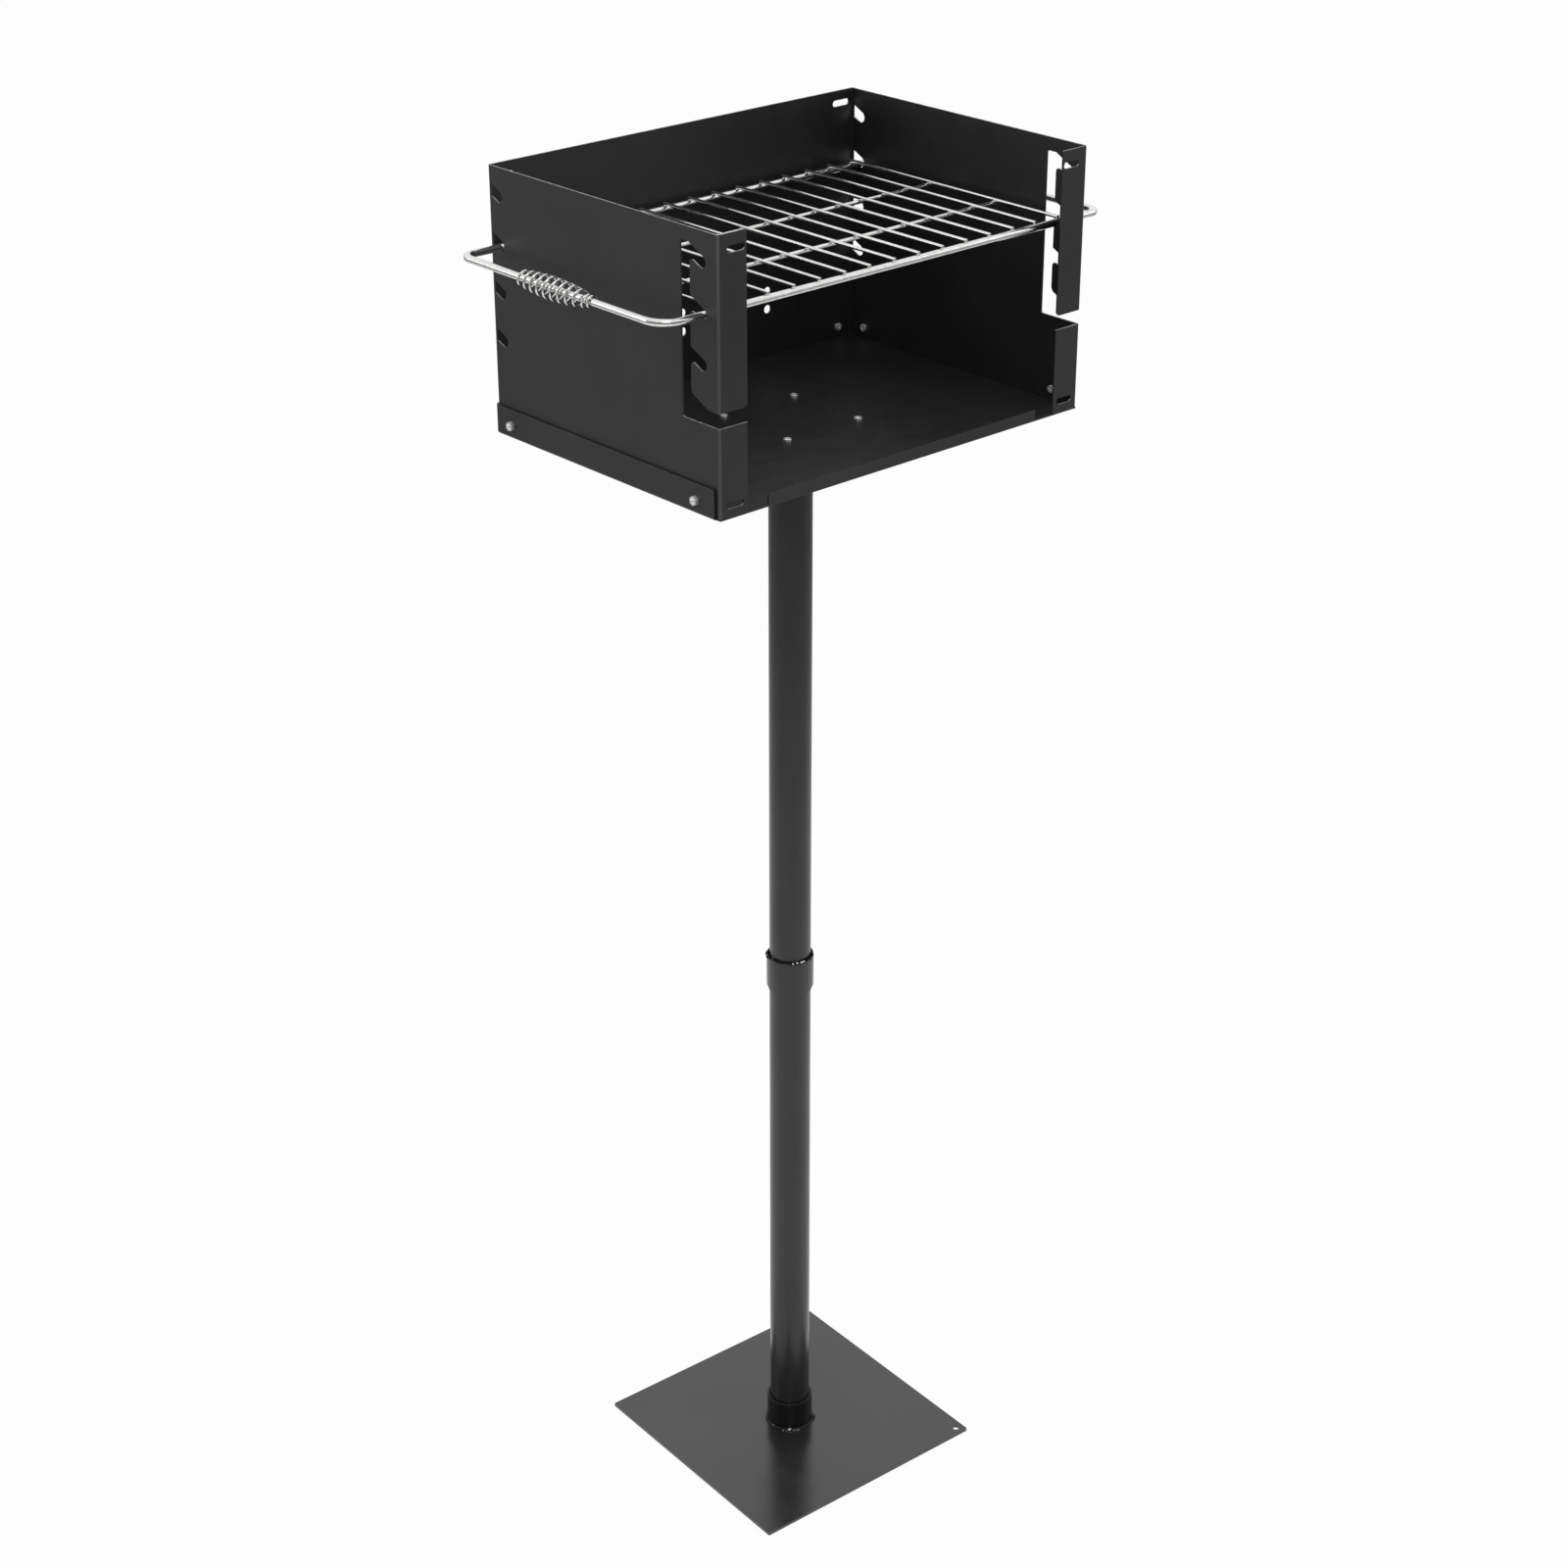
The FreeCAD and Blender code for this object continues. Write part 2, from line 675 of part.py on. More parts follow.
def biarc(p0, t0, p1, t1):
    # Two arcs from p0 to p1 that leave along t0, arrive along t1 and meet smoothly.
    run = p1 - p0
    both = t0 + t1
    spread = 2 * (1 - t0.dot(t1))
    reach = (math.sqrt(run.dot(both) ** 2 + spread * run.dot(run)) - run.dot(both)) / spread
    first = p0 + t0 * reach
    second = p1 - t1 * reach
    joint = (first + second) * 0.5
    return [tangent_arc(p0, first, joint), tangent_arc(joint, second, p1)]


def make_coil(side):
    steps = int(round(coil_turns * 2))
    edges = []
    for step in range(steps):
        a = step / 2
        b = (step + 1) / 2
        edges += biarc(coil_point(a), coil_tangent(a), coil_point(b), coil_tangent(b))
    path = Part.Wire(edges)
    circle = Part.Wire(Part.makeCircle(coil_wire / 2, coil_point(0), coil_tangent(0)))
    coil = path.makePipeShell([circle], True, False)
    if side > 0:
        coil = coil.mirror(Vector(0, 0, 0), x_axis)
    coil.translate(Vector(side * handle_x, coil_centre_depth, grate_z))
    return coil


def coil_self_gap():
    # The least gap between two turns, measured on points along the wire's centre.
    per_turn = 36
    count = int(coil_turns * per_turn)
    points = [coil_point(k / per_turn) for k in range(count + 1)]
    least = coil_length
    for k, point in enumerate(points):
        for other in points[k + per_turn // 2:]:
            least = min(least, (point - other).Length)
    return least - coil_wire


os.makedirs("parts", exist_ok=True)
save("base_plate", make_base_plate())
save("base_socket", make_base_socket())
save("base_weld_bead", make_weld(socket_outer_diameter / 2, base_top, weld_leg))
save("lower_post_tube", make_lower_tube())
save("upper_post_tube", make_upper_tube())
save("top_weld_bead", make_weld(tube_radius, upper_tube_top, -weld_leg))
save("post_top_plate", make_top_plate())
save("fire_pan", make_fire_pan())
save("wind_shield", make_wind_shield())
post_bolts, post_nuts = make_post_fasteners()
save("post_bolts", post_bolts)
save("post_nuts", post_nuts)
rim_bolts, rim_nuts = make_rim_fasteners()
save("rim_bolts", rim_bolts)
save("rim_nuts", rim_nuts)
save("grate_frame", make_grate_frame())
for number in range(cross_rod_count):
    place = (number - (cross_rod_count - 1) / 2) * cross_rod_pitch
    save("grate_rod_%02d" % (number + 1), make_cross_rod(place))
save("front_support_rod", make_support_rod(support_rod_depths[0]))
save("rear_support_rod", make_support_rod(support_rod_depths[1]))
save("left_coil_grip", make_coil(-1))
save("right_coil_grip", make_coil(1))
print("least gap between coil turns %.2f mm" % coil_self_gap())
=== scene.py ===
import math

import bmesh
import bpy
from bpy.props import FloatProperty, FloatVectorProperty, IntProperty, PointerProperty
from mathutils import Matrix, Vector, noise


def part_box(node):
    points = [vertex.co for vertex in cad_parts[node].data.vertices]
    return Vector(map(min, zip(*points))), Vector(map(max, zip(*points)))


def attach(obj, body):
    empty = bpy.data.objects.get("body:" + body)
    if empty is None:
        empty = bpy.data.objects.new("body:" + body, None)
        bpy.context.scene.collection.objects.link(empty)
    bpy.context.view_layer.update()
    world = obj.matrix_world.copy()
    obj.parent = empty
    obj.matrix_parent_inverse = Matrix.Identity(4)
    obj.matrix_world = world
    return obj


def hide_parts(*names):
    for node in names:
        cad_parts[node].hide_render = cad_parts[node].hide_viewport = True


bl_info = {
    "name": "Park Grill Pedestal",
    "version": (1, 0, 0),
    "blender": (4, 5, 0),
    "location": "View3D > Sidebar > Park Grill",
    "description": "Finishes for a park charcoal grill on a post, and a plain studio to see it in",
    "category": "Object",
}

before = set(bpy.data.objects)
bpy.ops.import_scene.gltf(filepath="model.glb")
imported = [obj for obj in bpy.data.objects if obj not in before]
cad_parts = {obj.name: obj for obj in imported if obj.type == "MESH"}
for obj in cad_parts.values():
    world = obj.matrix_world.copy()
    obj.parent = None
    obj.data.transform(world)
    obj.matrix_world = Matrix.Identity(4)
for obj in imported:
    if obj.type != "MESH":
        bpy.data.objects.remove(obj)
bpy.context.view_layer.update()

MM = 0.001
MERGE_DISTANCE = 0.001 * MM
WALL_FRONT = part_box("wind_shield")[0].y
FOLD_DEPTH = 2.5 * MM
BASE_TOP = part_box("base_plate")[1].z
TUBE_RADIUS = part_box("upper_post_tube")[1].x
TUBE_WALL = 2.4 * MM
TUBE_BORE = TUBE_RADIUS - TUBE_WALL
SOCKET_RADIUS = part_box("base_socket")[1].x
SWAGE_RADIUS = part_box("lower_post_tube")[1].x
SWAGE_BORE = SWAGE_RADIUS - TUBE_WALL
LOWER_TUBE_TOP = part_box("lower_post_tube")[1].z
UPPER_TUBE_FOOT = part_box("upper_post_tube")[0].z
UPPER_TUBE_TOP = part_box("upper_post_tube")[1].z
SWAGE_TAPER = 7.0 * MM
BOLT_RADIUS = 2.0 * MM
BOLT_SPARE = 1.3 * MM
CROSS_RODS = ["grate_rod_%02d" % number for number in range(1, 16)]
SUPPORT_RODS = ["front_support_rod", "rear_support_rod"]
PALE_SPECK = (0.30, 0.30, 0.30, 1.0)
WORN_STEEL = (0.62, 0.60, 0.58, 1.0)
SPATTER_STEEL = (0.35, 0.34, 0.33, 1.0)
FLECK_STEEL = (0.85, 0.84, 0.82)
FLECK_ROUGHNESS = 0.35
DULL_WELD = (0.16, 0.16, 0.16)
WHITE = (1, 1, 1, 1)


class GrillFinish(bpy.types.PropertyGroup):
    """Colours and small sizes of the grill's finishes"""

    coat_colour: FloatVectorProperty(
        name="Coat", description="Colour of the black powder coat", subtype="COLOR",
        default=(0.0135, 0.0135, 0.0140), min=0.0, max=1.0)
    coat_roughness: FloatProperty(
        name="Coat Roughness", description="How matt the powder coat is", default=0.40, min=0.0, max=1.0)
    # The edge colour is the thin coat on the cut edges and also a painted highlight: it is much lighter than
    # the coat and goes only on edges that face up.
    edge_coat_and_highlight_colour: FloatVectorProperty(
        name="Cut Edge", description="Colour of the thin coat on the cut edges of the sheet",
        subtype="COLOR", default=(0.30, 0.26, 0.245), min=0.0, max=1.0)
    edge_rounding: FloatProperty(
        name="Edge Rounding", description="How far the coat rounds the sheet's edges",
        subtype="DISTANCE", unit="LENGTH", default=0.22 * MM, min=0.0, max=0.5 * MM)
    rod_colour: FloatVectorProperty(
        name="Rod", description="Colour of the plated rods", subtype="COLOR",
        default=(0.77, 0.77, 0.76), min=0.0, max=1.0)
    rod_roughness: FloatProperty(
        name="Rod Roughness", description="How dull the plated rods are", default=0.16, min=0.0, max=1.0)
    zinc_colour: FloatVectorProperty(
        name="Zinc", description="Colour of the zinc-plated screws and nuts", subtype="COLOR",
        default=(0.90, 0.91, 0.92), min=0.0, max=1.0)
    thread_pitch: FloatProperty(
        name="Thread Pitch", description="Pitch of the screws' thread", subtype="DISTANCE",
        unit="LENGTH", default=0.7 * MM, min=0.4 * MM, max=1.5 * MM)
    thread_depth: FloatProperty(
        name="Thread Depth", description="Depth of the screws' thread", subtype="DISTANCE",
        unit="LENGTH", default=0.35 * MM, min=0.1 * MM, max=0.8 * MM)


class WeldShape(bpy.types.PropertyGroup):
    """Sizes of the weld beads"""

    bead_radius: FloatProperty(
        name="Bead Radius", description="Radius of the bead's section", subtype="DISTANCE",
        unit="LENGTH", default=1.3 * MM, min=0.5 * MM, max=4.0 * MM)
    ripple_count: IntProperty(
        name="Ripples", description="Ripples in one turn round the tube", default=46, min=8, max=120)
    ripple_depth: FloatProperty(
        name="Ripple Depth", description="Height of one ripple", subtype="DISTANCE",
        unit="LENGTH", default=0.16 * MM, min=0.0, max=1.0 * MM)
    nugget_radius: FloatProperty(
        name="Nugget Radius", description="Radius of the weld where two rods cross",
        subtype="DISTANCE", unit="LENGTH", default=1.75 * MM, min=0.5 * MM, max=4.0 * MM)


class StudioSetup(bpy.types.PropertyGroup):
    """The camera and the light"""

    camera_place: FloatVectorProperty(
        name="Camera", description="Where the camera stands", subtype="TRANSLATION",
        unit="LENGTH", default=(-1.59383, -1.75440, 1.86699))
    camera_yaw: FloatProperty(
        name="Yaw", description="Camera's turn to the right of the +Y direction",
        subtype="ANGLE", default=math.radians(42.119))
    camera_pitch: FloatProperty(
        name="Pitch", description="Camera's tilt below the horizon", subtype="ANGLE",
        default=math.radians(26.144))
    camera_lens: FloatProperty(
        name="Lens", description="Focal length in millimetres on a 36 mm sensor", default=68.0, min=10.0)
    sky_light: FloatProperty(
        name="Sky Light", description="Strength of the even light from all round", default=1.0, min=0.0)
    lamp_power: FloatProperty(
        name="Lamp Power", description="Power of the main soft lamp in watts", default=16.0, min=0.0)


def add_node(tree, kind, sockets=None, **settings):
    """A new shader node with its settings, and its sockets set or linked by name or number."""
    made = tree.nodes.new(kind)
    for key, value in settings.items():
        setattr(made, key, value)
    for key, value in (sockets or {}).items():
        if isinstance(value, bpy.types.NodeSocket):
            tree.links.new(value, made.inputs[key])
        else:
            made.inputs[key].default_value = value
    return made


def new_material(name):
    """An empty node material, with its output and a principled shader joined to it."""
    material = bpy.data.materials.new(name)
    material.use_nodes = True
    tree = material.node_tree
    tree.nodes.clear()
    output = tree.nodes.new("ShaderNodeOutputMaterial")
    shader = tree.nodes.new("ShaderNodeBsdfPrincipled")
    tree.links.new(shader.outputs["BSDF"], output.inputs["Surface"])
    return material, tree, shader


def place_vector(tree, scale=(1.0, 1.0, 1.0)):
    """The place on the piece in metres, stretched by a scale."""
    place = add_node(tree, "ShaderNodeTexCoord")
    return add_node(tree, "ShaderNodeMapping", {"Vector": place.outputs["Object"], "Scale": scale}).outputs[0]


def noise_value(tree, vector, scale, detail=2.0, roughness=0.5):
    made = add_node(tree, "ShaderNodeTexNoise", {
        "Vector": vector, "Scale": scale, "Detail": detail, "Roughness": roughness})
    return made.outputs["Fac"]


def ramp(tree, value, low, high, to_low=0.0, to_high=1.0):
    """A value taken from one range to another and held at its ends."""
    made = add_node(tree, "ShaderNodeMapRange", {
        "Value": value, "From Min": low, "From Max": high, "To Min": to_low, "To Max": to_high})
    return made.outputs["Result"]


def blend_colours(tree, factor, first, second):
    made = add_node(tree, "ShaderNodeMix", {"Factor": factor}, data_type="RGBA")
    for socket, value in ((made.inputs[6], first), (made.inputs[7], second)):
        if isinstance(value, bpy.types.NodeSocket):
            tree.links.new(value, socket)
        else:
            socket.default_value = value
    return made.outputs[2]


def combine(tree, kind, first, second):
    return add_node(tree, "ShaderNodeMath", {0: first, 1: second}, operation=kind).outputs[0]


def tinted(colour, factor):
    """An opaque colour, brighter or darker by a factor."""
    return (colour[0] * factor, colour[1] * factor, colour[2] * factor, 1.0)


def coat_material(name, finish, peel_scale=520.0, peel=0.10, fleck=0.0, gloss=0.0, mirror=0.5, lighter=1.0):
    """Satin black powder coat: fine orange peel, faint clouding and small pale specks."""
    material, tree, shader = new_material(name)
    place = place_vector(tree)
    cloud = noise_value(tree, place, 9.0, 3.0)
    smear = noise_value(tree, place_vector(tree, (1.0, 1.0, 0.25)), 42.0, 4.0, 0.6)
    speck = ramp(tree, noise_value(tree, place, 1900.0, 1.0), 0.70, 0.78)
    tone = blend_colours(
        tree, ramp(tree, cloud, 0.3, 0.7), tinted(finish.coat_colour, 0.80 * lighter),
        tinted(finish.coat_colour, 1.25 * lighter))
    tone = blend_colours(tree, combine(tree, "MULTIPLY", speck, 0.05 + fleck), tone, PALE_SPECK)
    tree.links.new(tone, shader.inputs["Base Color"])
    roughness = finish.coat_roughness - gloss
    roughness = ramp(tree, smear, 0.25, 0.75, roughness - 0.05, roughness + 0.08)
    tree.links.new(roughness, shader.inputs["Roughness"])
    shader.inputs["Specular IOR Level"].default_value = mirror
    pebble = noise_value(tree, place, peel_scale, 2.0, 0.55)
    bump = add_node(tree, "ShaderNodeBump", {"Height": pebble, "Strength": peel, "Distance": 0.4 * MM})
    tree.links.new(bump.outputs[0], shader.inputs["Normal"])
    return material


def edge_coat_and_highlight_material(name, finish):
    """The cut edges of the sheet, where the coat is thin and steel shows through in places; their light
    colour is also a painted highlight, as it goes only on edges that face up.
    """
    material, tree, shader = new_material(name)
    place = place_vector(tree)
    worn = ramp(tree, noise_value(tree, place, 160.0, 4.0, 0.6), 0.42, 0.60)
    tone = blend_colours(
        tree, worn, tinted(finish.edge_coat_and_highlight_colour, 0.45), tinted(finish.edge_coat_and_highlight_colour, 1.25))
    tree.links.new(tone, shader.inputs["Base Color"])
    tree.links.new(ramp(tree, worn, 0.0, 1.0, 0.0, 0.5), shader.inputs["Metallic"])
    shader.inputs["Roughness"].default_value = 0.38
    burr = noise_value(tree, place, 1400.0, 2.0)
    bump = add_node(tree, "ShaderNodeBump", {"Height": burr, "Strength": 0.25, "Distance": 0.2 * MM})
    tree.links.new(bump.outputs[0], shader.inputs["Normal"])
    return material


def plated_material(name, colour, roughness, haze=0.06, ripple=0.10, metal=1.0):
    """Plated metal with a slight haze and shallow ripples left by drawing and bending."""
    material, tree, shader = new_material(name)
    place = place_vector(tree)
    haze_value = noise_value(tree, place, 220.0, 4.0, 0.65)
    tone = blend_colours(tree, ramp(tree, haze_value, 0.35, 0.65), tinted(colour, 0.88), tinted(colour, 1.06))
    tree.links.new(tone, shader.inputs["Base Color"])
    shader.inputs["Metallic"].default_value = metal
    tree.links.new(
        ramp(tree, haze_value, 0.3, 0.7, roughness - haze, roughness + haze), shader.inputs["Roughness"])
    wave = noise_value(tree, place, 260.0, 3.0, 0.5)
    bump = add_node(tree, "ShaderNodeBump", {"Height": wave, "Strength": ripple, "Distance": 0.5 * MM})
    tree.links.new(bump.outputs[0], shader.inputs["Normal"])
    return material


def chipped_coat_material(name, finish, rim_height, rim_reach, mirror=0.5, lighter=1.0):
    """The tubes' powder coat, chipped to bright steel close to a rim at rim_height."""
    material = coat_material(
        name, finish, peel_scale=620.0, peel=0.08, gloss=0.14, mirror=mirror, lighter=lighter)
    tree = material.node_tree
    shader = next(n for n in tree.nodes if n.type == "BSDF_PRINCIPLED")
    place = place_vector(tree)
    height = add_node(tree, "ShaderNodeSeparateXYZ", {"Vector": place}).outputs["Z"]
    from_rim = combine(tree, "ABSOLUTE", combine(tree, "SUBTRACT", height, rim_height), 0.0)
    near = ramp(tree, from_rim, 0.0, rim_reach, 1.0, 0.0)
    chip = combine(tree, "MULTIPLY", near, ramp(tree, noise_value(tree, place, 170.0, 3.0), 0.64, 0.68))
    tone = shader.inputs["Base Color"].links[0].from_socket
    tree.links.new(blend_colours(tree, chip, tone, WORN_STEEL), shader.inputs["Base Color"])
    tree.links.new(chip, shader.inputs["Metallic"])
    return material


def weld_material(name, finish):
    """Weld metal under glossy black coat, with spots where the coat broke over spatter."""
    material, tree, shader = new_material(name)
    place = place_vector(tree)
    bare = ramp(tree, noise_value(tree, place, 230.0, 2.0), 0.69, 0.72)
    tone = blend_colours(tree, bare, tinted(finish.coat_colour, 0.8), SPATTER_STEEL)
    tree.links.new(tone, shader.inputs["Base Color"])
    tree.links.new(bare, shader.inputs["Metallic"])
    shader.inputs["Roughness"].default_value = 0.34
    shader.inputs["Specular IOR Level"].default_value = 0.25
    lumps = noise_value(tree, place, 700.0, 3.0, 0.6)
    bump = add_node(tree, "ShaderNodeBump", {"Height": lumps, "Strength": 0.35, "Distance": 0.4 * MM})
    tree.links.new(bump.outputs[0], shader.inputs["Normal"])
    return material


def node_mesh(node):
    """A construction node's mesh with its loose triangles joined and its flat faces made whole."""
    mesh = bmesh.new()
    mesh.from_mesh(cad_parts[node].data)
    bmesh.ops.remove_doubles(mesh, verts=mesh.verts, dist=MERGE_DISTANCE)
    bmesh.ops.dissolve_limit(
        mesh, angle_limit=math.radians(0.3), use_dissolve_boundaries=False,
        verts=mesh.verts, edges=mesh.edges, delimit=set())
    return mesh


def round_sharp_edges(mesh, rounding, steps=2, sharper_than=math.radians(35)):
    """Bevels each edge that turns sharply, inwards or outwards."""
    joined = [edge for edge in mesh.edges if len(edge.link_faces) == 2]
    sharp = [edge for edge in joined if edge.calc_face_angle() > sharper_than]
    bmesh.ops.bevel(
        mesh, geom=sharp, offset=rounding, offset_type="OFFSET", affect="EDGES", segments=steps,
        profile=0.5, material=-1, clamp_overlap=False)


def finish_piece(name, mesh, body, materials, replaced=()):
    """Makes a bmesh an object of the grill: smooth, with weighted normals, on its moving body."""
    data = bpy.data.meshes.new(name)
    for face in mesh.faces:
        face.smooth = True
    mesh.to_mesh(data)
    mesh.free()
    for material in materials:
        data.materials.append(material)
    piece = bpy.data.objects.new(name, data)
    bpy.context.scene.collection.objects.link(piece)
    weighted = piece.modifiers.new("Even Shading", "WEIGHTED_NORMAL")
    weighted.mode = "FACE_AREA"
    weighted.keep_sharp = True
    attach(piece, body)
    if replaced:
        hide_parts(*replaced)
    return piece


def dress_node(node, materials):
    """Gives a construction node, whose shape stays, its finish."""
    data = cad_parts[node].data
    data.materials.clear()
    for material in materials:
        data.materials.append(material)


def mark_worn_and_lit_edges(mesh, lit_edge_number, fold_highlight_number):
    """Gives the cut edges that face up, and the front folds, the material of their number: on both it is a
    painted highlight, on the edges over their thin coat.
    """
    mesh.normal_update()
    for face in mesh.faces:
        # Faces that point up get the light edge coat: a painted highlight where light falls from above.
        if face.normal.z > 0.5:
            face.material_index = lit_edge_number
        # Faces on the front folds get a painted highlight.
        elif face.normal.y < -0.2 and abs(face.normal.x) > 0.2:
            if face.calc_center_median().y < WALL_FRONT + FOLD_DEPTH:
                face.material_index = fold_highlight_number


def spun_tube(profile, steps=96):
    """A closed tube about the post's axis from a closed outline of (radius, height) points."""
    mesh = bmesh.new()
    corners = [mesh.verts.new((radius, 0.0, height)) for radius, height in profile]
    edges = [mesh.edges.new((a, b)) for a, b in zip(corners, corners[1:] + corners[:1])]
    bmesh.ops.spin(
        mesh, geom=corners + edges, cent=(0, 0, 0), axis=(0, 0, 1), angle=math.tau, steps=steps,
        use_merge=True, use_normal_flip=False, use_duplicate=False)
    bmesh.ops.remove_doubles(mesh, verts=mesh.verts, dist=MERGE_DISTANCE)
    bmesh.ops.recalc_face_normals(mesh, faces=mesh.faces)
    return mesh


def rounded_corner(centre, height, radius, start):
    """Outline points over a quarter turn clockwise, on a corner that reaches up to height."""
    points = []
    for step in range(4):
        angle = start - step * math.pi / 6
        points.append((centre + radius * math.cos(angle), height - radius * (1 - math.sin(angle))))
    return points


def rounded_rim(inner, outer, height, radius):
    """Outline points over a tube's rim from its inside to its outside, with rounded corners."""
    return (
        rounded_corner(inner + radius, height, radius, math.pi)
        + rounded_corner(outer - radius, height, radius, math.pi / 2))


def countersunk_rim(inner, outer, height, radius, sink):
    """Outline points over a tube's rim that slopes down inwards from a rounded outer corner."""
    return [(inner, height - sink)] + rounded_corner(outer - radius, height, radius, math.pi / 2)


def ragged_rim(mesh, height, reach, depth, lumps):
    """Roughens a tube's end, as a saw and thick coat leave it."""
    for vert in mesh.verts:
        near = 1 - min(1.0, abs(vert.co.z - height) / reach)
        if near > 0:
            lump = noise.noise(vert.co * lumps)
            vert.co.z += depth * near * min(0.0, lump)
            out = Vector((vert.co.x, vert.co.y, 0)).normalized()
            vert.co += out * (0.35 * depth * near * noise.noise(vert.co * lumps * 1.7 + Vector((5, 1, 3))))


def weld_bead(weld, radius, foot, sign, lumps, seed):
    """A rippled bead round a tube, in the corner between the tube and a flat face at foot."""
    mesh = bmesh.new()
    section = bmesh.ops.create_circle(mesh, cap_ends=False, radius=weld.bead_radius, segments=12)
    centre = Vector((radius + 0.35 * weld.bead_radius, 0, foot + sign * 0.35 * weld.bead_radius))
    turn = Matrix.Rotation(math.radians(90), 4, "X")
    bmesh.ops.transform(mesh, matrix=Matrix.Translation(centre) @ turn, verts=section["verts"])
    bmesh.ops.spin(
        mesh, geom=mesh.verts[:] + mesh.edges[:], cent=(0, 0, 0), axis=(0, 0, 1), angle=math.tau,
        steps=weld.ripple_count * 6, use_merge=True, use_normal_flip=False, use_duplicate=False)
    bmesh.ops.remove_doubles(mesh, verts=mesh.verts, dist=MERGE_DISTANCE)
    bmesh.ops.recalc_face_normals(mesh, faces=mesh.faces)
    for vert in mesh.verts:
        angle = math.atan2(vert.co.y, vert.co.x)
        along = Vector((math.cos(angle), math.sin(angle), 0))
        middle = along * centre.x + Vector((0, 0, centre.z))
        out = vert.co - middle
        wander = noise.noise(Vector((math.cos(angle) * 2.1, math.sin(angle) * 2.1, seed)))
        phase = (angle / math.tau * weld.ripple_count + 0.35 * wander) % 1.0
        size = 1 + weld.ripple_depth / weld.bead_radius * (math.sqrt(1 - (1 - phase) ** 2) - 0.6)
        flutter = noise.noise(Vector((math.cos(angle) * 8, math.sin(angle) * 8, seed + 9)))
        size += 0.16 * wander + 0.20 * flutter
        for lump_angle, lump_width, lump_size in lumps:
            apart = (angle - lump_angle + math.pi) % math.tau - math.pi
            size += lump_size * math.exp(-((apart / lump_width) ** 2))
        vert.co = middle + out * size
        if sign * (vert.co.z - foot) < 0:
            vert.co.z = foot
    return mesh


def add_lumps(mesh, height, lumps, material_number):
    """Uneven lumps round the post: (degrees, reach, rise in mm, size in mm, stretch along the turn)."""
    for degrees, reach, rise, size, stretch in lumps:
        turn = Matrix.Rotation(math.radians(degrees), 4, "Z")
        place = turn @ Matrix.Translation((reach, 0, height + rise * MM))
        shape = Matrix.Diagonal((0.8, stretch, 0.8, 1.0))
        made = bmesh.ops.create_icosphere(mesh, subdivisions=3, radius=size * MM)
        bmesh.ops.transform(mesh, matrix=place @ shape, verts=made["verts"])
        middle = place.to_translation()
        for vert in made["verts"]:
            swell = noise.noise(vert.co * 900 + Vector((degrees, 0, 0)))
            vert.co = middle + (vert.co - middle) * (1 + 0.45 * swell)
        for face in {face for vert in made["verts"] for face in vert.link_faces}:
            face.material_index = material_number


def separate_groups(mesh):
    """The vertices of each part of a mesh that nothing joins to the rest."""
    left = set(mesh.verts)
    groups = []
    while left:
        todo = [left.pop()]
        group = []
        while todo:
            vert = todo.pop()
            group.append(vert)
            for edge in vert.link_edges:
                other = edge.other_vert(vert)
                if other in left:
                    left.remove(other)
                    todo.append(other)
        groups.append(group)
    return groups


def screw_end(group):
    """The middle of a screw's tail end and the direction in which it points."""
    low = Vector([min(v.co[k] for v in group) for k in range(3)])
    high = Vector([max(v.co[k] for v in group) for k in range(3)])
    size = high - low
    k = max(range(3), key=lambda axis: size[axis])
    centre = (low + high) / 2
    from_centre = [v.co - centre for v in group if v.co[k] < low[k] + 0.1 * size[k]]
    spread = max((offset - offset.project(axis_vector(k))).length for offset in from_centre)
    sign = -1 if spread < 1.2 * BOLT_RADIUS else 1
    end = centre.copy()
    end[k] = low[k] if sign < 0 else high[k]
    return end, axis_vector(k) * sign


def axis_vector(k):
    return Vector([1.0 if i == k else 0.0 for i in range(3)])


def threaded_tail(mesh, finish, end, outwards):
    """Adds a closed threaded stud that ends at a screw's tail, chamfered there."""
    rows_per_pitch = 8
    overlap = 0.5 * MM
    chamfer_height = 0.6 * MM
    length = BOLT_SPARE + overlap
    rows = int(length / finish.thread_pitch * rows_per_pitch)
    made = bmesh.ops.create_circle(mesh, cap_ends=True, radius=BOLT_RADIUS, segments=28)
    verts = list(made["verts"])
    rim = [edge for edge in mesh.edges if edge.verts[0] in made["verts"] and edge.verts[1] in made["verts"]]
    for _ in range(rows):
        pushed = bmesh.ops.extrude_edge_only(mesh, edges=rim)["geom"]
        fresh = [item for item in pushed if isinstance(item, bmesh.types.BMVert)]
        rim = [item for item in pushed if isinstance(item, bmesh.types.BMEdge)
               and item.verts[0] in fresh and item.verts[1] in fresh]
        bmesh.ops.translate(mesh, vec=(0, 0, length / rows), verts=fresh)
        verts += fresh
    bmesh.ops.contextual_create(mesh, geom=rim)
    for vert in verts:
        turn = math.atan2(vert.co.y, vert.co.x) / math.tau
        phase = (vert.co.z / finish.thread_pitch - turn) % 1.0
        depth = finish.thread_depth * abs(2 * phase - 1)
        chamfer = max(0.0, vert.co.z - (length - chamfer_height))
        scale = (BOLT_RADIUS - depth - chamfer) / BOLT_RADIUS
        vert.co.x *= scale
        vert.co.y *= scale
    turn = outwards.to_track_quat("Z", "Y").to_matrix().to_4x4()
    place = Matrix.Translation(end - outwards * length) @ turn
    bmesh.ops.transform(mesh, matrix=place, verts=verts)


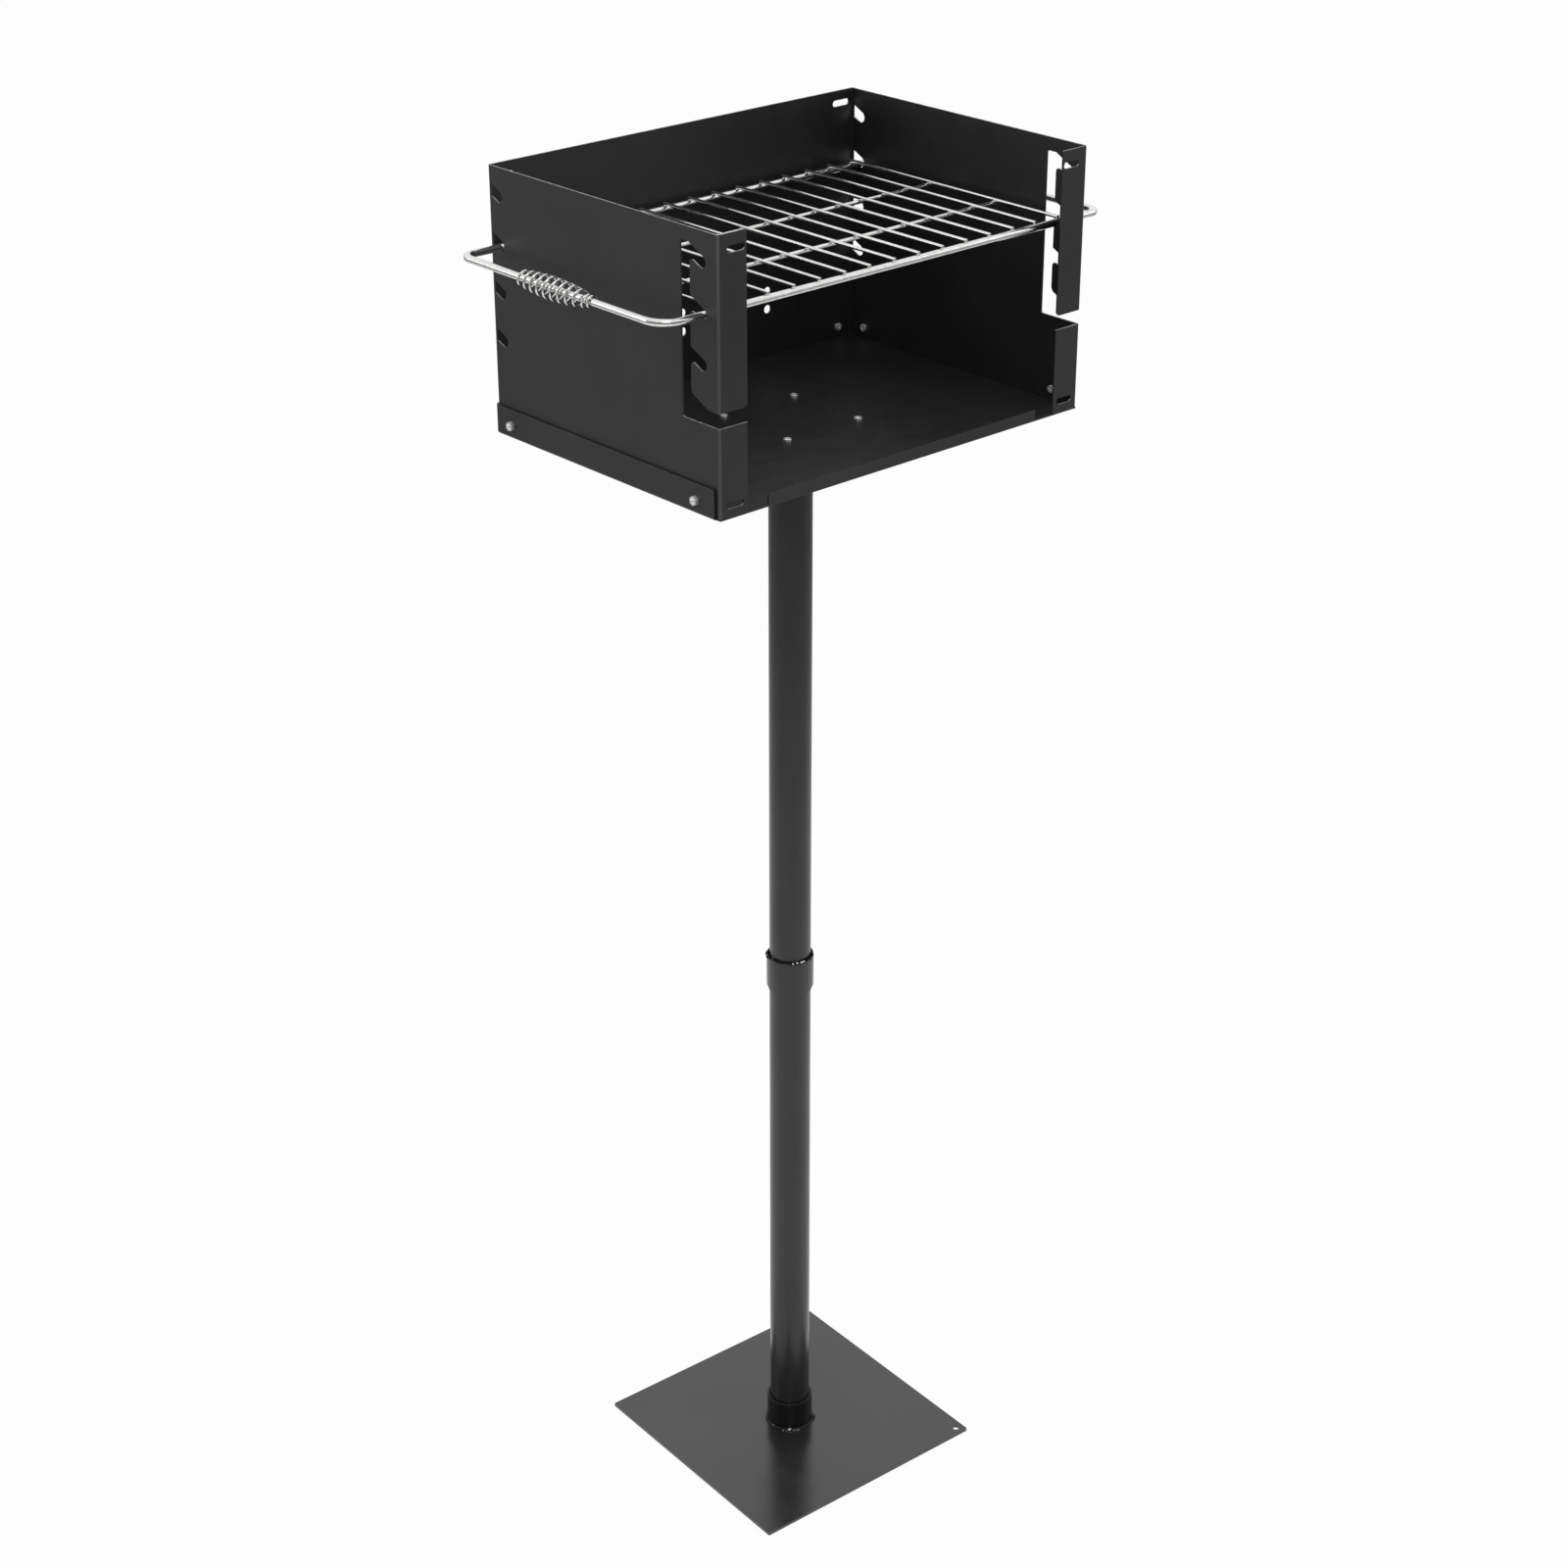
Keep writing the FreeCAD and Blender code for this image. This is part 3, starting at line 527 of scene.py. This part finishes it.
def screws_mesh(node, finish):
    """The screws of one node with softened heads, their free ends threaded."""
    mesh = node_mesh(node)
    ends = [screw_end(group) for group in separate_groups(mesh)]
    for end, outwards in ends:
        group = next(
            one for one in separate_groups(mesh) if min((v.co - end).length for v in one) < 1.5 * BOLT_RADIUS)
        faces = {face for vert in group for face in vert.link_faces}
        edges = {edge for vert in group for edge in vert.link_edges}
        cut = bmesh.ops.bisect_plane(
            mesh, geom=group + list(edges) + list(faces), dist=0.0001 * MM,
            plane_co=end - outwards * BOLT_SPARE, plane_no=outwards, clear_outer=True)
        open_edges = [item for item in cut["geom_cut"] if isinstance(item, bmesh.types.BMEdge)]
        bmesh.ops.holes_fill(mesh, edges=open_edges, sides=0)
    round_sharp_edges(mesh, 0.18 * MM)
    for end, outwards in ends:
        threaded_tail(mesh, finish, end, outwards)
    bmesh.ops.recalc_face_normals(mesh, faces=mesh.faces)
    return mesh


def weld_nuggets(weld, bars, rods, seed):
    """Small squeezed welds where each rod crosses each bar, as one mesh."""
    mesh = bmesh.new()
    for number, rod in enumerate(rods):
        low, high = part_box(rod)
        for bar_y, lift in bars:
            place = Vector(((low.x + high.x) / 2, bar_y, low.z + lift))
            drop = bmesh.ops.create_icosphere(mesh, subdivisions=3, radius=weld.nugget_radius)
            shape = Matrix.Diagonal((1.0, 0.80, 0.40, 1.0))
            bmesh.ops.transform(mesh, matrix=Matrix.Translation(place) @ shape, verts=drop["verts"])
            for vert in drop["verts"]:
                out = vert.co - place
                swell = noise.noise(vert.co * 700 + Vector((number * 3.1, seed, 0)))
                vert.co = place + out * (1 + 0.22 * swell)
    return mesh


class GRILL_OT_base(bpy.types.Operator):
    """Dress the square base plate, its socket and the weld round the socket"""

    bl_idname = "grill.base"
    bl_label = "Base"

    def execute(self, context):
        finish = context.scene.grill_finish
        weld = context.scene.grill_weld
        coat = coat_material(
            "base_coat", finish, peel_scale=900.0, peel=0.17, fleck=0.05, gloss=0.21, mirror=0.85)
        mesh = node_mesh("base_plate")
        round_sharp_edges(mesh, finish.edge_rounding)
        finish_piece("base_plate_coated", mesh, "base", [coat], ["base_plate"])

        low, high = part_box("base_socket")
        rim = rounded_rim(SWAGE_BORE, SOCKET_RADIUS, high.z, 0.7 * MM)
        mesh = spun_tube([(SWAGE_BORE, low.z)] + rim + [(SOCKET_RADIUS, low.z)])
        ragged_rim(mesh, high.z, 1.2 * MM, 0.35 * MM, 130.0)
        # The socket's coat is made darker (lighter=0.6): painted shade at the foot of the post.
        socket_shaded_coat = chipped_coat_material(
            "socket_shaded_coat", finish, high.z, 0.8 * MM, mirror=0.22, lighter=0.6)
        finish_piece("base_socket_coated", mesh, "base", [socket_shaded_coat], ["base_socket"])

        # Heavier lumps of weld at the front and at both sides, as the welder started and stopped.
        lumps = [(math.radians(-46), 0.16, 1.3), (math.radians(150), 0.14, 0.5), (math.radians(60), 0.2, 0.5)]
        mesh = weld_bead(weld, SOCKET_RADIUS, BASE_TOP, 1, lumps, 1.7)
        near = SOCKET_RADIUS + 1.0 * MM
        far = SOCKET_RADIUS + 2.6 * MM
        coated, bare, dull = 0, 1, 2
        add_lumps(mesh, BASE_TOP, [
            (-52, near, 2.2, 1.8, 1.3), (-45, near, 1.4, 2.2, 1.2), (-38, near, 0.8, 1.5, 1.2),
            (-96, near, 0.5, 1.2, 1.4), (146, near, 1.4, 1.2, 1.2), (158, near, 0.5, 1.1, 1.4),
            (-165, near, 0.4, 1.0, 1.4), (75, near, 0.6, 1.3, 1.4)], coated)
        add_lumps(mesh, BASE_TOP, [
            (-132, near, 1.1, 1.6, 1.1), (-147, far, 0.3, 0.6, 1.0), (170, near, 1.0, 0.5, 1.0),
            (20, near, 0.8, 0.8, 1.0)], bare)
        add_lumps(mesh, BASE_TOP, [
            (-121, far, 0.5, 1.9, 1.0), (-113, far, 0.5, 1.9, 1.0), (-140, far, 0.2, 0.9, 1.3)], dull)
        metal = [weld_material("base_weld_metal", finish),
                 plated_material("base_bare_fleck", FLECK_STEEL, FLECK_ROUGHNESS),
                 plated_material("base_dull_weld", DULL_WELD, 0.45)]
        finish_piece("base_weld_rippled", mesh, "base", metal, ["base_weld_bead"])
        return {"FINISHED"}


class GRILL_OT_post(bpy.types.Operator):
    """Dress the two post tubes, the plate on top of them and its weld"""

    bl_idname = "grill.post"
    bl_label = "Post"

    def execute(self, context):
        finish = context.scene.grill_finish
        weld = context.scene.grill_weld
        low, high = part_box("lower_post_tube")
        taper_top = UPPER_TUBE_FOOT
        mouth = countersunk_rim(SWAGE_BORE, SWAGE_RADIUS, high.z, 0.35 * MM, 1.6 * MM)
        outline = [
            (TUBE_BORE, taper_top), (TUBE_BORE, low.z), (TUBE_RADIUS, low.z),
            (TUBE_RADIUS, taper_top - SWAGE_TAPER), (SWAGE_RADIUS, taper_top),
            *reversed(mouth), (SWAGE_BORE, taper_top)]
        mesh = spun_tube(outline, 240)
        ragged_rim(mesh, high.z, 2.4 * MM, 0.9 * MM, 260.0)
        # Drips of coat hang on the mouth's edge, and some of it has flaked off to bare steel. The drips' coat
        # is made darker, as painted shade in the gap round the mouth.
        reach = SWAGE_RADIUS - 0.5 * MM
        bare, shaded_drips = 1, 2
        add_lumps(mesh, high.z, [
            (134, reach, -1.8, 2.0, 1.3), (140, reach, 0.2, 1.8, 1.3), (144, reach, -3.4, 1.6, 1.2),
            (152, reach, -1.4, 1.8, 1.6), (163, reach, -1.0, 1.4, 1.8), (178, reach, -0.8, 1.2, 2.2),
            (-168, reach, -0.8, 1.2, 3.0), (-152, reach, -0.7, 1.0, 3.0), (-138, reach, -0.8, 1.1, 2.4),
            (-129, reach, -1.1, 1.5, 1.3), (-119, reach, -0.9, 1.5, 1.3), (-109, reach, -1.2, 1.5, 1.6),
            (-99, reach, -1.0, 1.3, 1.8), (-88, reach, -0.7, 1.3, 2.2), (-72, reach, -0.8, 1.2, 2.2),
            (-52, reach, -0.8, 1.3, 2.0), (30, reach, -0.7, 1.2, 2.4), (85, reach, -0.8, 1.1, 2.4)], shaded_drips)
        add_lumps(mesh, high.z, [
            (-125, reach, -0.5, 1.2, 0.8), (-114, reach, -0.2, 1.1, 0.9), (-103, reach, -0.3, 1.05, 1.6),
            (-96, reach, 0.1, 0.9, 1.8), (145, reach, -0.4, 0.7, 1.2), (60, reach, -0.3, 0.8, 1.6)], bare)
        lower_coat = chipped_coat_material("lower_tube_coat", finish, high.z, 1.6 * MM)
        fleck = plated_material("rim_bare_fleck", FLECK_STEEL, FLECK_ROUGHNESS)
        # Coat 0.4 times as light on the drips: painted shade in the gap round the mouth.
        shaded_drip = coat_material("rim_drip_shaded_coat", finish, gloss=0.10, mirror=0.15, lighter=0.4)
        finish_piece(
            "lower_tube_coated", mesh, "lower_post", [lower_coat, fleck, shaded_drip], ["lower_post_tube"])

        low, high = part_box("upper_post_tube")
        outline = [(TUBE_BORE, low.z), (TUBE_RADIUS, low.z), (TUBE_RADIUS, high.z), (TUBE_BORE, high.z)]
        mesh = spun_tube(outline)
        upper_coat = chipped_coat_material("upper_tube_coat", finish, LOWER_TUBE_TOP, 1.4 * MM)
        finish_piece("upper_tube_coated", mesh, "head", [upper_coat], ["upper_post_tube"])

        mesh = node_mesh("post_top_plate")
        round_sharp_edges(mesh, finish.edge_rounding)
        plate_coat = coat_material("top_plate_coat", finish)
        finish_piece("top_plate_coated", mesh, "head", [plate_coat], ["post_top_plate"])

        lumps = [(math.radians(-60), 0.2, 0.35), (math.radians(120), 0.25, 0.3)]
        mesh = weld_bead(weld, TUBE_RADIUS, UPPER_TUBE_TOP, -1, lumps, 6.1)
        finish_piece(
            "top_weld_rippled", mesh, "head", [weld_material("top_weld_metal", finish)],
            ["top_weld_bead"])
        return {"FINISHED"}


class GRILL_OT_firebox(bpy.types.Operator):
    """Dress the folded wind shield and the fire pan, with their cut edges"""

    bl_idname = "grill.firebox"
    bl_label = "Firebox"

    def execute(self, context):
        finish = context.scene.grill_finish
        # Light edge coat: thin coat on the cut edges, with a painted highlight on those that face up.
        edge = edge_coat_and_highlight_material("cut_edge", finish)
        coat = coat_material("firebox_coat", finish)
        # The coat made 4.2 times lighter: a painted highlight along the front folds.
        fold_highlight = coat_material("fold_highlight_coat", finish, lighter=4.2)
        mesh = node_mesh("wind_shield")
        mark_worn_and_lit_edges(mesh, 1, 2)
        round_sharp_edges(mesh, finish.edge_rounding)
        finish_piece(
            "wind_shield_coated", mesh, "head", [coat, edge, fold_highlight], ["wind_shield"])

        mesh = node_mesh("fire_pan")
        round_sharp_edges(mesh, finish.edge_rounding)
        finish_piece("fire_pan_coated", mesh, "head", [coat], ["fire_pan"])
        return {"FINISHED"}


class GRILL_OT_fasteners(bpy.types.Operator):
    """Dress the screws, with threaded ends, and their nuts"""

    bl_idname = "grill.fasteners"
    bl_label = "Screws and Nuts"

    def execute(self, context):
        finish = context.scene.grill_finish
        zinc = plated_material(
            "zinc_plate", finish.zinc_colour, 0.26, haze=0.08, ripple=0.15, metal=0.72)
        for node in ("post_bolts", "rim_bolts"):
            finish_piece(node + "_threaded", screws_mesh(node, finish), "head", [zinc], [node])
        for node in ("post_nuts", "rim_nuts"):
            mesh = node_mesh(node)
            round_sharp_edges(mesh, 0.18 * MM)
            finish_piece(node + "_plated", mesh, "head", [zinc], [node])
        return {"FINISHED"}


class GRILL_OT_grate(bpy.types.Operator):
    """Dress the grate's frame, cross rods and support rods, with their welds"""

    bl_idname = "grill.grate"
    bl_label = "Grate"

    def execute(self, context):
        finish = context.scene.grill_finish
        weld = context.scene.grill_weld
        bright = plated_material("bright_plate", finish.rod_colour, finish.rod_roughness)
        dress_node("grate_frame", [bright])
        for node in CROSS_RODS + SUPPORT_RODS:
            mesh = node_mesh(node)
            round_sharp_edges(mesh, 0.5 * MM, 3)
            finish_piece(node + "_plated", mesh, "grate", [bright], [node])
        frame_low, frame_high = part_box("grate_frame")
        bar_radius = (frame_high.z - frame_low.z) / 2
        bars = [(frame_low.y + bar_radius, 0.3 * MM), (frame_high.y - bar_radius, 0.3 * MM)]
        mesh = weld_nuggets(weld, bars, CROSS_RODS, 2.0)
        finish_piece("bar_weld_nuggets", mesh, "grate", [bright], ())
        supports = [(sum(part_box(node), Vector()).y / 2, 0.1 * MM) for node in SUPPORT_RODS]
        weld_small = weld_nuggets(weld, supports, CROSS_RODS, 7.0)
        finish_piece("support_weld_nuggets", weld_small, "grate", [bright], ())
        return {"FINISHED"}


class GRILL_OT_grips(bpy.types.Operator):
    """Dress the coil grips on the two handles"""

    bl_idname = "grill.grips"
    bl_label = "Coil Grips"

    def execute(self, context):
        finish = context.scene.grill_finish
        wire_roughness = 0.12
        wire = plated_material("coil_wire_plate", tinted(finish.rod_colour, 0.95)[:3], wire_roughness)
        for node in ("left_coil_grip", "right_coil_grip"):
            dress_node(node, [wire])
        return {"FINISHED"}


def ray_is(tree, kinds):
    """1 for a ray of one of these kinds and 0 for any other."""
    path = add_node(tree, "ShaderNodeLightPath")
    total = path.outputs[kinds[0]]
    for kind in kinds[1:]:
        total = combine(tree, "MAXIMUM", total, path.outputs[kind])
    return total


def floor_material():
    """Pale floor: white to the eye but for a faint shadow, and a pool of light when it is mirrored."""
    material, tree, shader = new_material("studio_floor")
    shader.inputs["Base Color"].default_value = (0.80, 0.80, 0.80, 1.0)
    shader.inputs["Roughness"].default_value = 0.8
    shader.inputs["Specular IOR Level"].default_value = 0.0
    place = add_node(tree, "ShaderNodeTexCoord").outputs["Object"]
    distance = add_node(tree, "ShaderNodeVectorMath", {0: place}, operation="LENGTH").outputs["Value"]
    pool = ramp(tree, distance, 1.3, 2.3, 1.0, 0.36)
    white = add_node(tree, "ShaderNodeEmission", {"Color": WHITE, "Strength": 1.0})
    mirrored = add_node(tree, "ShaderNodeEmission", {"Color": WHITE, "Strength": pool})
    to_eye = combine(tree, "MULTIPLY", ray_is(tree, ["Is Camera Ray"]), 0.93)
    to_gloss = ray_is(tree, ["Is Glossy Ray", "Is Transmission Ray"])
    mixed = add_node(tree, "ShaderNodeMixShader", {0: to_eye, 1: shader.outputs[0], 2: white.outputs[0]})
    mixed = add_node(tree, "ShaderNodeMixShader", {0: to_gloss, 1: mixed.outputs[0], 2: mirrored.outputs[0]})
    output = next(n for n in tree.nodes if n.type == "OUTPUT_MATERIAL")
    tree.links.new(mixed.outputs[0], output.inputs["Surface"])
    return material


def studio_world(context, studio):
    """White to the eye, and to the object a white room that is dimmer on the side its front faces."""
    world = bpy.data.worlds.new("studio")
    context.scene.world = world
    world.use_nodes = True
    tree = world.node_tree
    tree.nodes.clear()
    direction = add_node(tree, "ShaderNodeTexCoord").outputs["Generated"]
    parts = add_node(tree, "ShaderNodeSeparateXYZ", {"Vector": direction})
    # The room is white behind the grill and overhead, and dark low down where its front faces.
    dark_side = (-0.67, -0.74, 0.0)
    toward = add_node(
        tree, "ShaderNodeVectorMath", {0: direction, 1: dark_side}, operation="DOT_PRODUCT")
    front = ramp(tree, toward.outputs["Value"], -0.1, 0.5, 1.0, 0.05)
    above = ramp(tree, parts.outputs["Z"], 0.22, 0.50)
    side = combine(tree, "MAXIMUM", front, above)
    room = combine(tree, "MULTIPLY", side, studio.sky_light)
    seen = ray_is(tree, ["Is Camera Ray"])
    strength = add_node(
        tree, "ShaderNodeMix", {"Factor": seen, 2: room, 3: 1.0}, data_type="FLOAT").outputs[0]
    background = add_node(tree, "ShaderNodeBackground", {"Color": WHITE, "Strength": strength})
    output = tree.nodes.new("ShaderNodeOutputWorld")
    tree.links.new(background.outputs[0], output.inputs["Surface"])


def soft_lamp(context, name, place, aim, size, power):
    data = bpy.data.lights.new(name, "AREA")
    data.shape = "SQUARE"
    data.size = size
    data.energy = power
    lamp = bpy.data.objects.new(name, data)
    context.scene.collection.objects.link(lamp)
    lamp.location = place
    lamp.rotation_mode = "QUATERNION"
    lamp.rotation_quaternion = (Vector(aim) - Vector(place)).to_track_quat("-Z", "Y")


class GRILL_OT_studio(bpy.types.Operator):
    """Set up the floor, the light and the camera"""

    bl_idname = "grill.studio"
    bl_label = "Studio"

    def execute(self, context):
        studio = context.scene.grill_studio
        mesh = bmesh.new()
        floor_drop = 0.05 * MM
        bmesh.ops.create_circle(mesh, cap_ends=True, radius=60.0, segments=64)
        bmesh.ops.translate(mesh, vec=(0, 0, -floor_drop), verts=mesh.verts)
        data = bpy.data.meshes.new("studio_floor")
        mesh.to_mesh(data)
        mesh.free()
        data.materials.append(floor_material())
        floor = bpy.data.objects.new("studio_floor", data)
        context.scene.collection.objects.link(floor)

        studio_world(context, studio)
        middle = (0.0, 0.0, 1.0)
        soft_lamp(context, "key_lamp", (-1.9, -2.3, 3.2), middle, 1.6, studio.lamp_power)
        soft_lamp(context, "side_lamp", (2.6, -1.4, 2.2), middle, 1.4, 0.3 * studio.lamp_power)
        soft_lamp(context, "rim_lamp", (-2.4, 1.8, 1.7), middle, 1.2, 0.5 * studio.lamp_power)

        data = bpy.data.cameras.new("photo_camera")
        data.sensor_width = 36.0
        data.lens = studio.camera_lens
        data.clip_end = 200.0
        camera = bpy.data.objects.new("photo_camera", data)
        context.scene.collection.objects.link(camera)
        camera.location = studio.camera_place
        camera.rotation_mode = "XYZ"
        camera.rotation_euler = (math.pi / 2 - studio.camera_pitch, 0, -studio.camera_yaw)
        context.scene.camera = camera
        context.scene.view_settings.view_transform = "Standard"
        return {"FINISHED"}


STEPS = (
    GRILL_OT_studio, GRILL_OT_base, GRILL_OT_post, GRILL_OT_firebox, GRILL_OT_fasteners,
    GRILL_OT_grate, GRILL_OT_grips)


class GRILL_PT_panel(bpy.types.Panel):
    """Lists the grill's pieces and their settings"""

    bl_idname = "GRILL_PT_panel"
    bl_label = "Park Grill"
    bl_space_type = "VIEW_3D"
    bl_region_type = "UI"
    bl_category = "Park Grill"

    def draw(self, context):
        for group in (context.scene.grill_finish, context.scene.grill_weld, context.scene.grill_studio):
            box = self.layout.box()
            for name in group.__annotations__:
                box.prop(group, name)
        for step in STEPS:
            self.layout.operator(step.bl_idname)


SETTINGS = {"grill_finish": GrillFinish, "grill_weld": WeldShape, "grill_studio": StudioSetup}


def register():
    for made in (*SETTINGS.values(), *STEPS, GRILL_PT_panel):
        bpy.utils.register_class(made)
    for name, group in SETTINGS.items():
        setattr(bpy.types.Scene, name, PointerProperty(type=group))


def unregister():
    for name in SETTINGS:
        delattr(bpy.types.Scene, name)
    for made in reversed((*SETTINGS.values(), *STEPS, GRILL_PT_panel)):
        bpy.utils.unregister_class(made)


def main():
    register()
    bpy.ops.grill.studio()
    bpy.ops.grill.base()
    bpy.ops.grill.post()
    bpy.ops.grill.firebox()
    bpy.ops.grill.fasteners()
    bpy.ops.grill.grate()
    bpy.ops.grill.grips()


if __name__ == "__main__":
    main()
